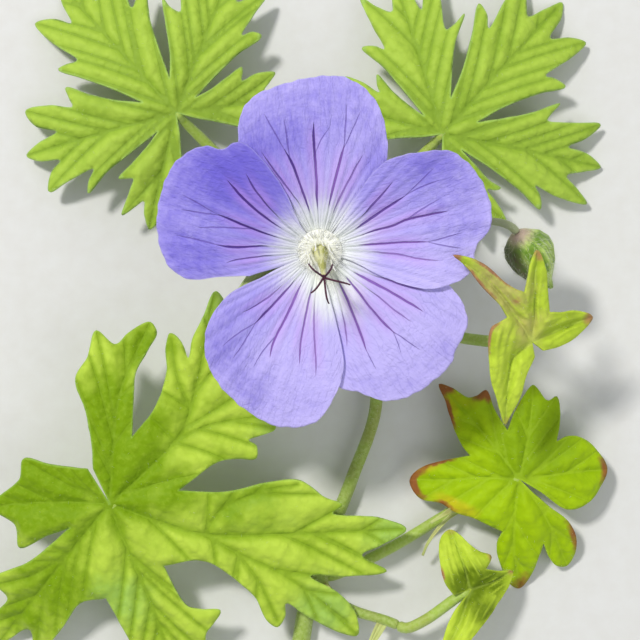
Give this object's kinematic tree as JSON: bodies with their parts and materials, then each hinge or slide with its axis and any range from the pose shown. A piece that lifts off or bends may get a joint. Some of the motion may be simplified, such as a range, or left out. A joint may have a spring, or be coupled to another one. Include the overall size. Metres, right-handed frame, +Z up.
{
  "type": "hardy geranium flowering stem",
  "caption": "Cut leafy stem of hardy geranium lying down, with an open violet bloom, a nodding bud and palmate leaves.",
  "frame": {"origin": "middle of the small flat spot under the fork, straight below the bloom's throat, on the resting surface", "axes": "+Z up, out of the surface the stem lies on; -Y towards the stem's cut end; +X to the right as the bloom faces the viewer"},
  "size_m": [0.0906, 0.1347, 0.0349],
  "materials": {
    "stem": "satin",
    "leaf": "satin",
    "leaf_flushed": "satin",
    "leaf_young": "satin",
    "sepal": "matte",
    "petal": "satin",
    "pistil": "satin",
    "stigma": "matte",
    "filament": "satin",
    "bud": "matte"
  },
  "bodies": {
    "root": {"stem": "stem", "leaf_lower_left": "leaf", "leaf_lower_right": "leaf_flushed", "leaf_upper_left": "leaf", "leaf_upper_right": "leaf", "leaf_young_right": "leaf_young", "leaf_young_lower": "leaf_young", "calyx": "sepal", "petal_right": "petal", "petal_top": "petal", "petal_left": "petal", "petal_lower_left": "petal", "petal_lower_right": "petal", "pistil": "pistil", "stigmas": "stigma", "filaments": "filament", "bud": "bud"}
  },
  "joints": []
}
